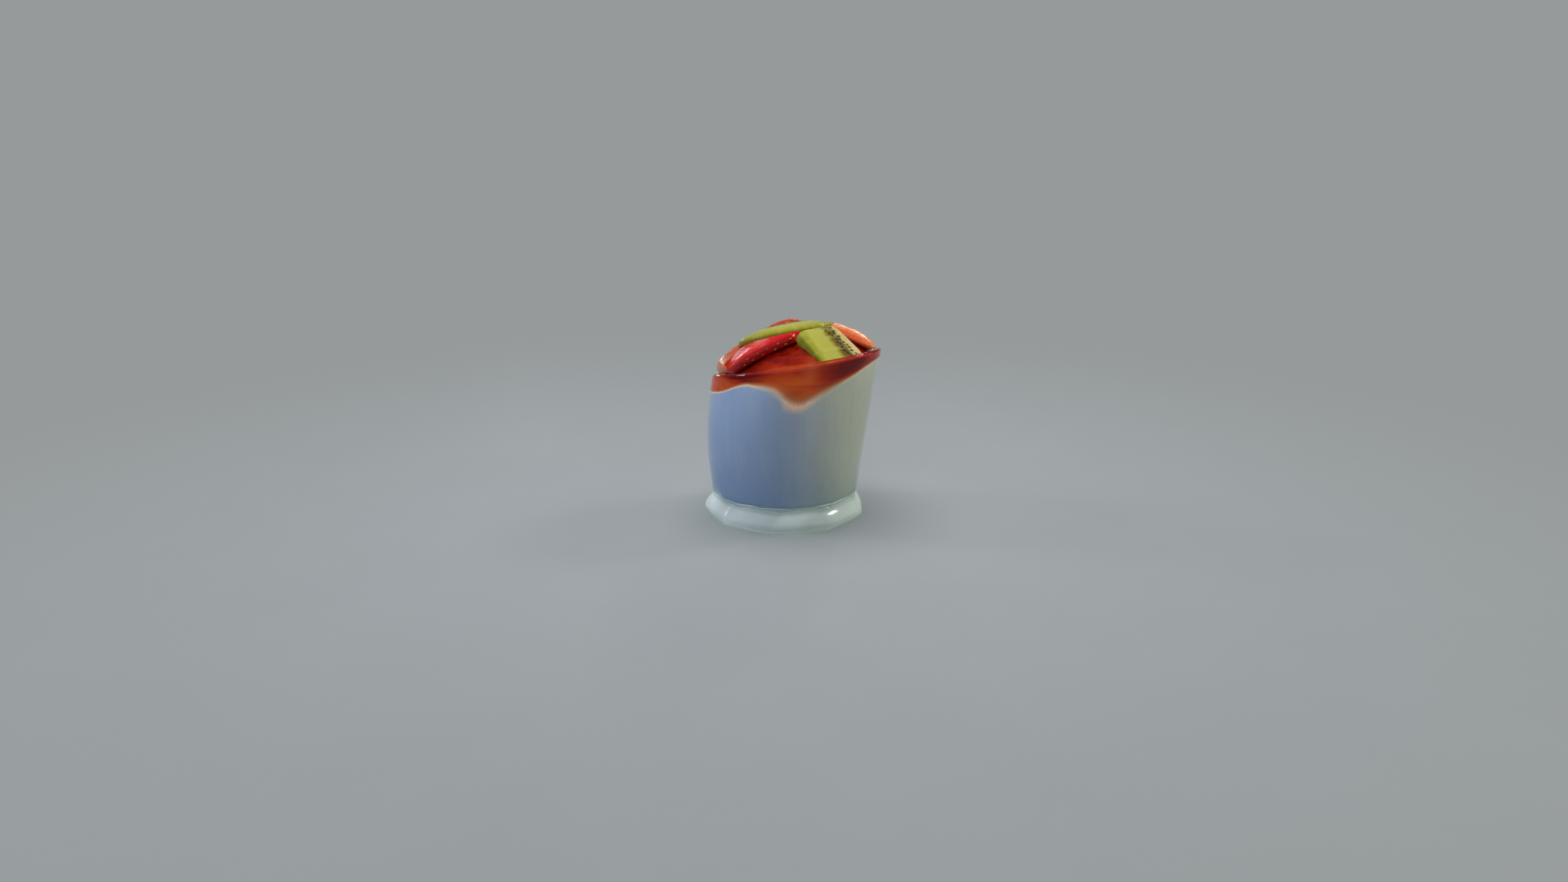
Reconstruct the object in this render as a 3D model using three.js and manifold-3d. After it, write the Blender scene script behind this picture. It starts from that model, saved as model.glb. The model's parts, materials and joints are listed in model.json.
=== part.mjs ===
// Panna cotta in a leaning dessert glass, with fruit sauce and a heap of cut fruit.
// Millimetres, +Z up. The origin is the middle of the foot, where the glass stands.
// -Y is the front and +X the right. The lip is cut on a slant, highest at the front right.
import * as THREE from "three";
import { mergeVertices } from "three/addons/utils/BufferGeometryUtils.js";
import Module from "manifold-3d";

const wasm = await Module();
wasm.setup();
const { degToRad, clamp, lerp, smoothstep } = THREE.MathUtils;

// Glass
const BODY_R = 29.8; // outer radius above the middle
const WAIST_R = 26.8; // outer radius just over the foot
const WAIST_Z = 7.6;
const FULL_Z = 42; // height where the body reaches BODY_R
const WALL = 2.2; // wall at the lip
const WALL_LOW = 3.0; // wall just over the floor
const FLOOR_Z = 6.4; // top of the thick glass floor
const FLOOR_ROUND = 4.5; // height over which the floor rounds up into the wall
const LIP_Z = 56.6; // height of the lip plane on the foot's axis
const LIP_RISE_X = 0.166; // rise of the lip plane to the right
const LIP_RISE_Y = -0.155; // rise of the lip plane to the back
const SLANT_FROM = 14; // below this height rings round the glass are level
const LEAN = 5.2; // how far the lip stands to the right of the foot
const LEAN_FROM = 14;
const LEAN_TO = 61.5;

// Flutes round the foot
const FLUTES = 9;
const FLUTE_TURN = degToRad(-98); // an edge between two flutes, from +X
const FLUTE_DEPTH = 0.62; // 1 would cut the foot to a true polygon
const FLUTE_TOP = 12; // height of each flute's arch
const FLUTE_ARCH = 5; // how much lower the arch is at the flute's edges
const FLUTE_FADE = 3;

// Sauce over the panna cotta
const SAUCE_Z = 52.75; // mean height of the sauce's lower edge on the wall
const SAUCE_RISE_X = 6.75; // its rise to the right, from the axis to the wall
const SAUCE_RISE_FRONT = 4.25; // its rise to the front
const SAUCE_DIP = { deep: 9, at: 10, wide: 25 }; // where it sinks in, degrees from the front
const SAUCE_CREST = { deep: -3.5, at: -33, wide: 14 };
const SAUCE_BELOW_LIP = 1.0;
const MOUND = 11.4; // height of the sauce over the lip plane
const MOUND_R = 27.3;
const MOUND_X = 4.6; // middle of the lip
const LUMP = 0.45; // relief of the fruit pulp in the sauce

const GAP = 0.3; // clearance between neighbouring pieces
const ROOM = 0.33; // clearance of a pocket cut for a piece
const ROOM_ABOVE = 14; // a pocket stays open this far above its piece
const ROUND = 63; // steps round the glass, seven for each flute
const FRUIT_ROUND = 32;

// The cut fruit. A place is a spot on the mound: heading is the way the piece points, from +X,
// lift moves it off the mound, roll and pitch tilt it. Bend is the ball that it lies over.
const KIWI_SLICE = {
  make: slice,
  outline: (u, v) => [18 * u, 17.8 * v * (1 + 0.04 * u)],
  thick: 2.8,
  bend: 46,
  place: { x: 0.9, y: 3.2, heading: 0, lift: 1.4, pitch: 3.5 },
};

// It lies on the kiwi slice and bends with it
const STRAWBERRY_PIECE = {
  make: slice,
  outline: (u, v) => turnedBy(190, [5.6 * u, 6.4 * v * (1 - 0.3 * u)], [-0.4, 10.9]),
  thick: 1.9,
  bend: KIWI_SLICE.bend,
  base: KIWI_SLICE.thick + GAP,
  place: KIWI_SLICE.place,
};

const STRAWBERRY_SLICE = {
  make: slice,
  outline: (u, v) => [17.5 * u, 7 * v * (1 + 0.3 * u - 0.12 * u * u)],
  thick: 3.6,
  bend: 40,
  place: { x: -5.5, y: -11.5, heading: 14, lift: 0.4 },
};

const KIWI_WEDGE = {
  make: slice,
  outline: (u, v) => between(KIWI_WEDGE.corners, ...squared(u, v)),
  corners: { left: [-12, 2.3], back: [1.2, 9.8], right: [13.6, -0.6], front: [-1.5, -9.6] },
  thick: 5,
  bend: 140,
  place: { x: 14.4, y: -17.3, heading: 0, lift: -3.2, roll: 18, pitch: 12 },
};

const PEACH_LEFT = {
  make: crescent,
  long: 25,
  wide: 9.6,
  deep: 7.2,
  place: { x: -18.9, y: -3.5, heading: 76, lift: 2 },
};

const PEACH_RIGHT = {
  make: crescent,
  long: 23,
  wide: 9.6,
  deep: 7.2,
  place: { x: 22.7, y: -4.4, heading: -20, lift: 0.8 },
};

// Closed bodies

// Merged corners, no empty triangles, faces pointing out
function closed(source) {
  const bare = source.clone();
  bare.deleteAttribute("normal");
  bare.deleteAttribute("uv");
  const merged = mergeVertices(bare, 1e-4);
  const index = merged.index.array;
  const position = merged.attributes.position;
  const kept = [];
  let volume = 0;
  const [a, b, c] = [new THREE.Vector3(), new THREE.Vector3(), new THREE.Vector3()];
  for (let i = 0; i < index.length; i += 3) {
    const [p, q, r] = [index[i], index[i + 1], index[i + 2]];
    if (p === q || q === r || r === p) continue;
    kept.push(p, q, r);
    a.fromBufferAttribute(position, p);
    b.fromBufferAttribute(position, q);
    c.fromBufferAttribute(position, r);
    volume += a.dot(b.cross(c));
  }
  if (volume < 0) kept.reverse();
  merged.setIndex(kept);
  return merged;
}

function moved(geometry, place) {
  const position = geometry.attributes.position;
  for (let i = 0; i < position.count; i++) {
    const [x, y, z] = place(position.getX(i), position.getY(i), position.getZ(i));
    position.setXYZ(i, x, y, z);
  }
  return closed(geometry);
}

// A body of revolution about Z from a profile of [radius, height] pairs
function turned(profile, steps) {
  const points = profile.map(([r, z]) => new THREE.Vector2(Math.max(r, 0), z));
  return new THREE.LatheGeometry(points, steps).rotateX(Math.PI / 2);
}

function solid(geometry) {
  const mesh = closed(geometry);
  return new wasm.Manifold(
    new wasm.Mesh({
      numProp: 3,
      vertProperties: new Float32Array(mesh.attributes.position.array),
      triVerts: new Uint32Array(mesh.index.array),
    }),
  );
}

// The largest part of a cut body. Loose scraps that the cutting leaves are dropped.
function geometryOf(body) {
  const parts = body.decompose().sort((a, b) => b.volume() - a.volume());
  const mesh = parts[0].getMesh();
  const geometry = new THREE.BufferGeometry();
  geometry.setAttribute("position", new THREE.BufferAttribute(mesh.vertProperties, 3));
  geometry.setIndex(new THREE.BufferAttribute(mesh.triVerts, 1));
  return closed(geometry);
}

// A geometry with room cut out of it for what lies on it or in it
function clearOf(geometry, others) {
  const cut = (body, other) => body.subtract(solid(other.make(other, ROOM, ROOM_ABOVE)));
  return geometryOf(others.reduce(cut, solid(geometry)));
}

// The glass: a round leaning body on a fluted foot, cut on a slant

const lipPlane = (x, y) => LIP_Z + LIP_RISE_X * x + LIP_RISE_Y * y;
const leanAt = (z) => LEAN * clamp((z - LEAN_FROM) / (LEAN_TO - LEAN_FROM), 0, 1) ** 2;

function bodyRadius(z) {
  const swell = clamp((z - WAIST_Z) / (FULL_Z - WAIST_Z), 0, 1);
  return lerp(WAIST_R, BODY_R, Math.sin((swell * Math.PI) / 2));
}

function hollowRadius(z) {
  const wall = lerp(WALL_LOW, WALL, clamp((z - FLOOR_Z) / (FULL_Z - FLOOR_Z), 0, 1));
  const rise = clamp((z - FLOOR_Z) / FLOOR_ROUND, 0, 1);
  const corner = FLOOR_ROUND * (1 - Math.sqrt(1 - (1 - rise) ** 2));
  return bodyRadius(z) - wall - corner;
}

// Leans an upright glass and slants its lip
function slanted(x, y, z) {
  let height = z;
  for (let pass = 0; pass < 4; pass++) {
    const rise = (lipPlane(x + leanAt(height), y) - SLANT_FROM) / (LIP_Z - SLANT_FROM);
    height = z > SLANT_FROM ? SLANT_FROM + (z - SLANT_FROM) * rise : z;
  }
  const grown = bodyRadius(height) / bodyRadius(z);
  return [x * grown + leanAt(height), y * grown, height];
}

// Flattens the outside of the foot into arched flutes
function fluted(x, y, z) {
  const part = (2 * Math.PI) / FLUTES;
  const turn = Math.atan2(y, x) - FLUTE_TURN;
  const across = turn - part * Math.floor(turn / part) - part / 2;
  const flat = Math.cos(part / 2) / Math.cos(across);
  const top = FLUTE_TOP - FLUTE_ARCH * ((2 * across) / part) ** 2;
  const scale = lerp(1, flat, FLUTE_DEPTH * (1 - smoothstep(z, top - FLUTE_FADE, top)));
  return [x * scale, y * scale, z];
}

function glassProfile() {
  const foot = [
    [0, 0],
    [28.4, 0],
    [29.5, 0.7],
    [29.9, 2],
    [29.7, 3.6],
    [28.6, 5.3],
    [27.3, 6.6],
  ];
  const shoulder = LIP_Z - WALL / 2;
  const outside = [WAIST_Z, 9.5, 12, 16, 23, 32, FULL_Z, shoulder].map((z) => [bodyRadius(z), z]);
  const lip = [40, 90, 140].map((degrees) => [
    bodyRadius(LIP_Z) - (WALL / 2) * (1 - Math.cos(degToRad(degrees))),
    shoulder + (WALL / 2) * Math.sin(degToRad(degrees)),
  ]);
  const wall = [shoulder, FULL_Z, 32, 23, 16, FLOOR_Z + FLOOR_ROUND];
  const corner = [0.5, 0.2, 0.06, 0].map((rise) => FLOOR_Z + rise * FLOOR_ROUND);
  const inside = [...wall, ...corner].map((z) => [hollowRadius(z), z]);
  return [...foot, ...outside, ...lip, ...inside, [0, FLOOR_Z]];
}

function glassCup() {
  return moved(turned(glassProfile(), ROUND), (x, y, z) => {
    const inHollow = z > FLOOR_Z - 0.01 && Math.hypot(x, y) < hollowRadius(z) + WALL / 4;
    return slanted(...(inHollow ? [x, y, z] : fluted(x, y, z)));
  });
}

// The room of the upper wall and the lip, which fruit keeps clear of
const LIP = {
  make: () => {
    const [inner, outer] = [hollowRadius(LIP_Z) - ROOM, bodyRadius(LIP_Z) + ROOM];
    const [low, high] = [FULL_Z, LIP_Z + ROOM];
    const ring = [
      [inner, low],
      [outer, low],
      [outer, high],
      [inner, high],
      [inner, low],
    ];
    return moved(turned(ring, ROUND), slanted);
  },
};

// What fills the glass: a round plug from one surface up to another

function plug(rings, levels, bottomAt, topAt) {
  const profile = [
    ...rings.map((r) => [r, 0]),
    ...levels.map((level) => [1, level]),
    ...[...rings].reverse().map((r) => [r, 1]),
  ];
  return moved(turned(profile, ROUND), (x, y, level) => {
    let [px, py, pz] = [x, y, FULL_Z];
    for (let pass = 0; pass < 5; pass++) {
      const radius = hollowRadius(pz) - GAP;
      px = x * radius + leanAt(pz);
      py = y * radius;
      pz = lerp(bottomAt(px, py), topAt(px, py), level);
    }
    return [px, py, pz];
  });
}

// The sauce's lower edge on the wall, by the angle from the front in degrees
function sauceEdge(fromFront) {
  const turn = degToRad(fromFront);
  const tilted = SAUCE_Z + SAUCE_RISE_X * Math.sin(turn) + SAUCE_RISE_FRONT * Math.cos(turn);
  const wave = ({ deep, at, wide }) => deep * Math.exp(-0.5 * ((fromFront - at) / wide) ** 2);
  return tilted - wave(SAUCE_DIP) - wave(SAUCE_CREST);
}

function sauceFloor(x, y) {
  const fromAxis = x - leanAt(SAUCE_Z);
  const out = Math.min(Math.hypot(fromAxis, y) / hollowRadius(SAUCE_Z), 1) ** 2;
  const fromFront = (Math.atan2(fromAxis, -y) * 180) / Math.PI;
  return lerp(SAUCE_Z - 1, sauceEdge(fromFront), out);
}

function smoothMound(x, y) {
  const away = Math.min(Math.hypot(x - MOUND_X, y), MOUND_R);
  const ball = (MOUND_R ** 2 + MOUND ** 2) / (2 * MOUND);
  const dome = Math.sqrt(ball ** 2 - away ** 2) - (ball - MOUND);
  return lipPlane(x, y) - SAUCE_BELOW_LIP + dome;
}

function mound(x, y) {
  const coarse = Math.sin(0.52 * x + 1.1) * Math.cos(0.47 * y - 0.4);
  const fine = Math.sin(0.9 * x - 0.8 * y + 2.3) * Math.cos(0.75 * x + 0.95 * y);
  const away = Math.hypot(x - MOUND_X, y) / MOUND_R;
  const calm = 1 - smoothstep(away, 0.82, 0.98);
  return smoothMound(x, y) + LUMP * (coarse + 0.7 * fine) * calm;
}

function pannaCotta() {
  const rings = [0, 0.35, 0.7, 0.9, 1];
  const levels = [0.015, 0.05, 0.1, 0.25, 0.5, 0.78];
  return plug(rings, levels, () => FLOOR_Z + GAP, sauceFloor);
}

function sauceMound() {
  const rings = [0, 0.15, 0.3, 0.45, 0.6, 0.73, 0.84, 0.93, 1];
  return plug(rings, [0.5], (x, y) => sauceFloor(x, y) + GAP, mound);
}

// Fruit

// A frame on the mound, with X along the piece and Z off the mound
function onMound({ x, y, heading, lift, roll = 0, pitch = 0 }) {
  const step = 0.5;
  const slopeX = (smoothMound(x + step, y) - smoothMound(x - step, y)) / (2 * step);
  const slopeY = (smoothMound(x, y + step) - smoothMound(x, y - step)) / (2 * step);
  const up = new THREE.Vector3(-slopeX, -slopeY, 1).normalize();
  const along = new THREE.Vector3(Math.cos(degToRad(heading)), Math.sin(degToRad(heading)), 0);
  along.addScaledVector(up, -along.dot(up)).normalize();
  const across = new THREE.Vector3().crossVectors(up, along);
  const frame = new THREE.Matrix4().makeBasis(along, across, up);
  frame.multiply(new THREE.Matrix4().makeRotationX(degToRad(roll)));
  frame.multiply(new THREE.Matrix4().makeRotationY(degToRad(pitch)));
  const rest = new THREE.Vector3(x, y, smoothMound(x, y)).addScaledVector(up, lift);
  return frame.setPosition(rest);
}

// Lays a flat piece over a ball of radius `bend`
function draped(x, y, z, bend) {
  const far = Math.max(Math.hypot(x, y), 1e-6);
  const out = (bend + z) * Math.sin(far / bend);
  return [(x / far) * out, (y / far) * out, (bend + z) * Math.cos(far / bend) - bend];
}

// A slice whose outline is a map of the unit disc. `grow` swells it all round and `rise`
// lifts its upper face, which gives the pocket that it needs.
function slice({ outline, thick, bend, base = 0, place }, grow = 0, rise = 0) {
  const face = [0, 0.35, 0.68, 0.92];
  const profile = [
    ...face.map((r) => [r, -1]),
    [1, -0.55],
    [1, 0.55],
    ...[...face].reverse().map((r) => [r, 1]),
  ];
  const frame = onMound(place);
  return moved(turned(profile, FRUIT_ROUND), (u, v, w) => {
    const [x, y] = outline(u, v);
    const far = Math.max(Math.hypot(x, y), 1e-6);
    const swell = 1 + (grow * Math.hypot(u, v)) / far;
    const z = base + thick / 2 + w * (thick / 2 + grow) + (w > 0 ? rise : 0);
    return new THREE.Vector3(...draped(x * swell, y * swell, z, bend)).applyMatrix4(frame).toArray();
  });
}

// A curved segment with a round back and a thin inner edge. `grow` and `rise` as for a slice.
function crescent({ long, wide, deep, place }, grow = 0, rise = 0) {
  const hook = 0.13 * long; // how far the ends curve round
  const pad = grow * 1.6;
  const frame = onMound(place);
  return moved(new THREE.SphereGeometry(1, 24, 14), (u, v, w) => {
    const x = (long / 2 + pad) * u;
    const y = (wide / 2 + pad) * v - hook * u * u;
    const z = ((deep / 2) * (0.72 + 0.28 * v) + pad + (w > 0 ? rise : 0)) * w;
    return new THREE.Vector3(x, y, z).applyMatrix4(frame).toArray();
  });
}

function turnedBy(degrees, [x, y], [middleX, middleY]) {
  const [c, s] = [Math.cos(degToRad(degrees)), Math.sin(degToRad(degrees))];
  return [middleX + c * x - s * y, middleY + s * x + c * y];
}

// Unit disc to a square with round corners
function squared(u, v) {
  const far = Math.hypot(u, v);
  if (far < 1e-6) return [0, 0];
  const power = 7;
  const reach = (Math.abs(u / far) ** power + Math.abs(v / far) ** power) ** (-1 / power);
  return [u * reach, v * reach];
}

// A point of the quadrilateral with these corners, by its place in a square from -1 to 1
function between({ left, back, right, front }, s, t) {
  const [a, b] = [(1 + s) / 2, (1 + t) / 2];
  return [0, 1].map((k) => lerp(lerp(front[k], right[k], a), lerp(left[k], back[k], a), b));
}

// The whole dessert

const group = new THREE.Group();

function add(name, geometry, color, roughness, opacity = 1) {
  const material = new THREE.MeshStandardMaterial({ color, roughness, metalness: 0, opacity });
  material.transparent = opacity < 1;
  const mesh = new THREE.Mesh(geometry, material);
  mesh.name = name;
  group.add(mesh);
}

const onSauce = [KIWI_SLICE, STRAWBERRY_SLICE, KIWI_WEDGE, PEACH_LEFT, PEACH_RIGHT];

add("glass_cup", glassCup(), 0xcfe0da, 0.05, 0.35);
add("panna_cotta", pannaCotta(), 0xdfe0dc, 0.45);
add("fruit_sauce", clearOf(sauceMound(), onSauce), 0x9a2a08, 0.12);
add("kiwi_slice", slice(KIWI_SLICE), 0x9aa348, 0.25);
add("strawberry_piece", slice(STRAWBERRY_PIECE), 0xb85a4c, 0.25);
add("kiwi_wedge", clearOf(slice(KIWI_WEDGE), [KIWI_SLICE, LIP]), 0xafab57, 0.3);
add("strawberry_slice", clearOf(slice(STRAWBERRY_SLICE), [KIWI_SLICE, KIWI_WEDGE, LIP]), 0xca3334, 0.2);
add("peach_slice_left", clearOf(crescent(PEACH_LEFT), [KIWI_SLICE, STRAWBERRY_SLICE, LIP]), 0xe0a569, 0.25);
add("peach_slice_right", clearOf(crescent(PEACH_RIGHT), [KIWI_SLICE, KIWI_WEDGE, LIP]), 0xe4a070, 0.25);

export default group;
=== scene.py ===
"""Looks of the panna cotta cup: glass, set cream, fruit sauce and cut fruit, with light and camera."""

import json
import math

import bpy
import numpy as np
from mathutils import Matrix, Vector, noise
from mathutils.bvhtree import BVHTree

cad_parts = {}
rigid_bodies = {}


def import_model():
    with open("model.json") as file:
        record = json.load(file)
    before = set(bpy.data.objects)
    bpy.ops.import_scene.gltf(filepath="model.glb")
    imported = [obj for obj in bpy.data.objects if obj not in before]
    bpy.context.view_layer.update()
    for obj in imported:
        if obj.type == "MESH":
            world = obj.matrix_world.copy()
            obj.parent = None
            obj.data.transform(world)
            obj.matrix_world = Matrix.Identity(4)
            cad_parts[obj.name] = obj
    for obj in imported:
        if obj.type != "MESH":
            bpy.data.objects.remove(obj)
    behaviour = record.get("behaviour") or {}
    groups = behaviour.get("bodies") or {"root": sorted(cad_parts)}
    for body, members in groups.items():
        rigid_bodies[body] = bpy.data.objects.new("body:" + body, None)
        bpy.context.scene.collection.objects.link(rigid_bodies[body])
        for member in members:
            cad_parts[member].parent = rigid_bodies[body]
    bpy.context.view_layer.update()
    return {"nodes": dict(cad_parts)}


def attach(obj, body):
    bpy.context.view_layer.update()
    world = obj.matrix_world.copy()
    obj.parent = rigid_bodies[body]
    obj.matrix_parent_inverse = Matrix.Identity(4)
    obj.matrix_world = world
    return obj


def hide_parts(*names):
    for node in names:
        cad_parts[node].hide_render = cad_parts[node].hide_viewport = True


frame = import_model()

# The glass and its contents, in millimetres, as in the solids
BODY_R = 29.8
WAIST_R = 26.8
WAIST_Z = 7.6
FULL_Z = 42.0
WALL = 2.2
WALL_LOW = 3.0
FLOOR_Z = 6.4
FLOOR_ROUND = 4.5
LIP_Z = 56.6
LIP_RISE_X = 0.166
LIP_RISE_Y = -0.155
SLANT_FROM = 14.0
LEAN = 5.2
LEAN_FROM = 14.0
LEAN_TO = 61.5
FLUTES = 9
FLUTE_TURN = math.radians(-98)
FLUTE_DEPTH = 0.62
FLUTE_TOP = 12.0
FLUTE_ARCH = 5.0
FLUTE_FADE = 3.0
SAUCE_Z = 52.75
SAUCE_RISE_X = 6.75
SAUCE_RISE_FRONT = 4.25
SAUCE_DIP = (9.0, 10.0, 25.0)  # millimetres deep, degrees from the front, degrees wide
SAUCE_CREST = (-3.5, -33.0, 14.0)
SAUCE_BELOW_LIP = 1.0
MOUND = 11.4
MOUND_R = 27.3
MOUND_X = 4.6
LUMP = 0.45

# The meshes
SEAT = 0.08  # how far the contents reach into the glass wall
ROUND = 252  # steps round the glass, 28 for each flute
CREASE = math.radians(60)  # sharper edges than this aren't smoothed
MM = 0.001
rng = np.random.default_rng(7)


# Shared helpers

def lerp(a, b, t):
    return a + (b - a) * t


def smoothstep(x, low, high):
    t = np.clip((x - low) / (high - low), 0, 1)
    return t * t * (3 - 2 * t)


def noise_at(points, size, seed):
    """Smooth noise from about -1 to 1 at each point, with features of this size in mm."""
    shift = Vector((seed * 17.3, seed * 5.1, seed * 9.7))
    return np.array([noise.noise(Vector(p) / size + shift) for p in points])


def make_object(name, points, faces, materials, face_material=None):
    """A mesh object from points in mm, smooth but for its sharp edges."""
    mesh = bpy.data.meshes.new(name)
    mesh.from_pydata((np.asarray(points) * MM).tolist(), [], faces)
    for material in materials:
        mesh.materials.append(material)
    if face_material is not None:
        mesh.polygons.foreach_set("material_index", face_material)
    mesh.shade_smooth()
    mesh.set_sharp_from_angle(angle=CREASE)
    mesh.update()
    obj = bpy.data.objects.new(name, mesh)
    bpy.context.scene.collection.objects.link(obj)
    return obj


def store(obj, name, vectors):
    """Stores one vector for each point, for the material."""
    layer = obj.data.attributes.new(name, "FLOAT_VECTOR", "POINT")
    layer.data.foreach_set("vector", np.asarray(vectors, dtype=np.float32).ravel())


def as_vectors(*columns):
    """Vectors from one or two columns of values, with zeros for the rest."""
    spare = [np.zeros(len(columns[0]))] * (3 - len(columns))
    return np.column_stack([*columns, *spare])


def lathe(profile, steps, start=0.0):
    """Points and outward faces of a body turned about Z. The profile runs from the axis below,
    round the outside, to the axis above."""
    profile = np.asarray(profile, dtype=float)
    turn = start + np.linspace(0, 2 * np.pi, steps, endpoint=False)
    rings = profile[1:-1]
    x = np.outer(rings[:, 0], np.cos(turn)).ravel()
    y = np.outer(rings[:, 0], np.sin(turn)).ravel()
    z = np.repeat(rings[:, 1], steps)
    low, high = [0, 0, profile[0, 1]], [0, 0, profile[-1, 1]]
    points = np.vstack([low, np.column_stack([x, y, z]), high])
    faces = []
    last = len(points) - 1
    for s in range(steps):
        t = (s + 1) % steps
        faces.append((0, 1 + t, 1 + s))
        for r in range(len(rings) - 1):
            a = 1 + r * steps
            faces.append((a + s, a + t, a + steps + t, a + steps + s))
        a = 1 + (len(rings) - 1) * steps
        faces.append((a + s, a + t, last))
    return points, faces


def through(points, parts):
    """A smooth curve through these points, with this many parts between each two."""
    points = np.asarray(points, dtype=float)
    padded = np.vstack([2 * points[0] - points[1], points, 2 * points[-1] - points[-2]])
    curve = []
    for i in range(len(points) - 1):
        a, b, c, d = padded[i : i + 4]
        for t in np.arange(parts) / parts:
            curve.append(0.5 * (2 * b + (c - a) * t + (2 * a - 5 * b + 4 * c - d) * t**2
                                + (3 * b - a - 3 * c + d) * t**3))
    curve.append(points[-1])
    return np.array(curve)


# The form of the glass

def lip_plane(x, y):
    """Height of the lip's slanted top."""
    return LIP_Z + LIP_RISE_X * x + LIP_RISE_Y * y


def lean_at(z):
    """How far the glass's axis has gone to the right at a height."""
    return LEAN * np.clip((z - LEAN_FROM) / (LEAN_TO - LEAN_FROM), 0, 1) ** 2


def degrees_from_front(x, y, z):
    """Round the glass's axis, up to 180 to the right and -180 to the left."""
    return np.degrees(np.arctan2(x - lean_at(z), -y))


def body_radius(z):
    swell = np.clip((z - WAIST_Z) / (FULL_Z - WAIST_Z), 0, 1)
    return lerp(WAIST_R, BODY_R, np.sin(swell * np.pi / 2))


def hollow_radius(z):
    wall = lerp(WALL_LOW, WALL, np.clip((z - FLOOR_Z) / (FULL_Z - FLOOR_Z), 0, 1))
    rise = np.clip((z - FLOOR_Z) / FLOOR_ROUND, 0, 1)
    corner = FLOOR_ROUND * (1 - np.sqrt(1 - (1 - rise) ** 2))
    return body_radius(z) - wall - corner


def inner_radius(x, y, height):
    """Of the hollow, which the slanted lip stretches in height."""
    rise = (lip_plane(x, y) - SLANT_FROM) / (LIP_Z - SLANT_FROM)
    z = np.where(height > SLANT_FROM, SLANT_FROM + (height - SLANT_FROM) / rise, height)
    return hollow_radius(z) * body_radius(height) / body_radius(z)


def slanted(points):
    """Stretches an upright glass to its slanted lip, and leans it to the right."""
    x, y, z = points.T
    height = z.copy()
    for _ in range(4):
        rise = (lip_plane(x + lean_at(height), y) - SLANT_FROM) / (LIP_Z - SLANT_FROM)
        height = np.where(z > SLANT_FROM, SLANT_FROM + (z - SLANT_FROM) * rise, z)
    grown = body_radius(height) / body_radius(z)
    return np.column_stack([x * grown + lean_at(height), y * grown, height])


def fluted(points):
    """Flattens the foot to flutes that end in arches."""
    x, y, z = points.T
    part = 2 * np.pi / FLUTES
    turn = np.arctan2(y, x) - FLUTE_TURN
    across = turn - part * np.floor(turn / part) - part / 2
    flat = math.cos(part / 2) / np.cos(across)
    top = FLUTE_TOP - FLUTE_ARCH * (2 * across / part) ** 2
    scale = lerp(1, flat, FLUTE_DEPTH * (1 - smoothstep(z, top - FLUTE_FADE, top)))
    return np.column_stack([x * scale, y * scale, z])


# Radius and height up the side of the foot ring
FOOT = [(28.4, 0), (29.5, 0.7), (29.9, 2), (29.7, 3.6), (28.6, 5.3), (27.3, 6.6), (WAIST_R, WAIST_Z)]


def glass_points():
    foot = through(FOOT, 4)
    under = [(r, 0) for r in (0, 8, 16, 22, 26)]
    shoulder = LIP_Z - WALL / 2
    heights = np.linspace(WAIST_Z, shoulder, 34)
    outside = [(body_radius(z), z) for z in heights[1:]]
    middle = body_radius(LIP_Z) - WALL / 2
    lip = [(middle + WALL / 2 * math.cos(a), shoulder + WALL / 2 * math.sin(a))
           for a in np.radians(np.arange(15, 180, 15))]
    wall = [(hollow_radius(z), z) for z in np.linspace(shoulder, FLOOR_Z + FLOOR_ROUND, 32)]
    rises = 1 - np.sin(np.linspace(0, np.pi / 2, 12)[1:])
    corner = [(hollow_radius(FLOOR_Z + r * FLOOR_ROUND), FLOOR_Z + r * FLOOR_ROUND) for r in rises]
    bottom = [(r, FLOOR_Z) for r in (14, 7, 0)]
    profile = [*under, *foot.tolist(), *outside, *lip, *wall, *corner, *bottom]
    points, faces = lathe(profile, ROUND, FLUTE_TURN)
    x, y, z = points.T
    in_hollow = (z > FLOOR_Z - 0.01) & (np.hypot(x, y) < hollow_radius(z) + WALL / 4)
    points = np.where(in_hollow[:, None], points, fluted(points))
    return slanted(points), faces


# The form of the contents

def sauce_edge(from_front):
    """Height of the sauce's lower edge round the glass."""
    turn = np.radians(from_front)
    edge = SAUCE_Z + SAUCE_RISE_X * np.sin(turn) + SAUCE_RISE_FRONT * np.cos(turn)
    for deep, at, wide in (SAUCE_DIP, SAUCE_CREST):
        edge = edge - deep * np.exp(-0.5 * ((from_front - at) / wide) ** 2)
    return edge


# The line down to which the sauce keeps its colour at the front, where its edge has bled into the
# cream: degrees from the front, and height
STAIN = [(-34, 54.1), (-21, 54.6), (-10, 54.0), (0, 48.4), (20, 53.0), (35, 55.6), (56, 58.9)]


def stain_line(from_front):
    """The stain's line at the front, and the sauce's own edge at the back."""
    line = np.interp(from_front, *np.transpose(STAIN))
    shown = smoothstep(from_front, -42, -30) * (1 - smoothstep(from_front, 50, 64))
    return lerp(sauce_edge(from_front), line, shown)


def stain(from_front, z):
    """From 0 where the sauce is deep to 1 where it has faded to cream. It fades over a wider band
    below the dip."""
    dip = np.exp(-0.5 * ((from_front - 3) / 18) ** 2)
    above = 0.4 + 1.6 * dip
    band = 1.4 + 7 * dip
    blur = 0.5 + 3.5 * dip
    below = [stain_line(from_front + turn * blur) - z for turn in np.linspace(-2, 2, 9)]
    return np.mean([np.clip((depth + above) / band, 0, 1) for depth in below], axis=0)


def sauce_floor(x, y):
    """Height of the sauce's underside, where it lies on the cream."""
    out = np.minimum(np.hypot(x - lean_at(SAUCE_Z), y) / hollow_radius(SAUCE_Z), 1) ** 2
    return lerp(SAUCE_Z - 1, sauce_edge(degrees_from_front(x, y, SAUCE_Z)), out)


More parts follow.
